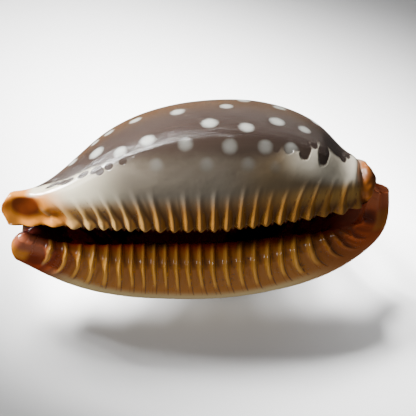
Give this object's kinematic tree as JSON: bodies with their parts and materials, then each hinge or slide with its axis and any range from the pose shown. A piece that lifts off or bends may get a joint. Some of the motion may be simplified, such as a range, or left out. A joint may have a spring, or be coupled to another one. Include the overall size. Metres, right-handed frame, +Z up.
{
  "type": "cowrie shell",
  "caption": "Small glossy cowrie shell lying on its side, with a ribbed base, a toothed slit mouth, knobbed canal ends and a spotted back.",
  "frame": {"origin": "on the ground, under the centre of the shell's bounding box", "axes": "+X along the shell from its front canal to its back canal, +Z up, with the mouth facing up and towards -Y"},
  "size_m": [0.0272, 0.013, 0.0139],
  "materials": {
    "shell_enamel": "glossy natural enamel, grey-brown with white spots on the back, cream on the sides, orange-brown at the ends"
  },
  "bodies": {
    "root": {"shell": "shell_enamel"}
  },
  "joints": []
}
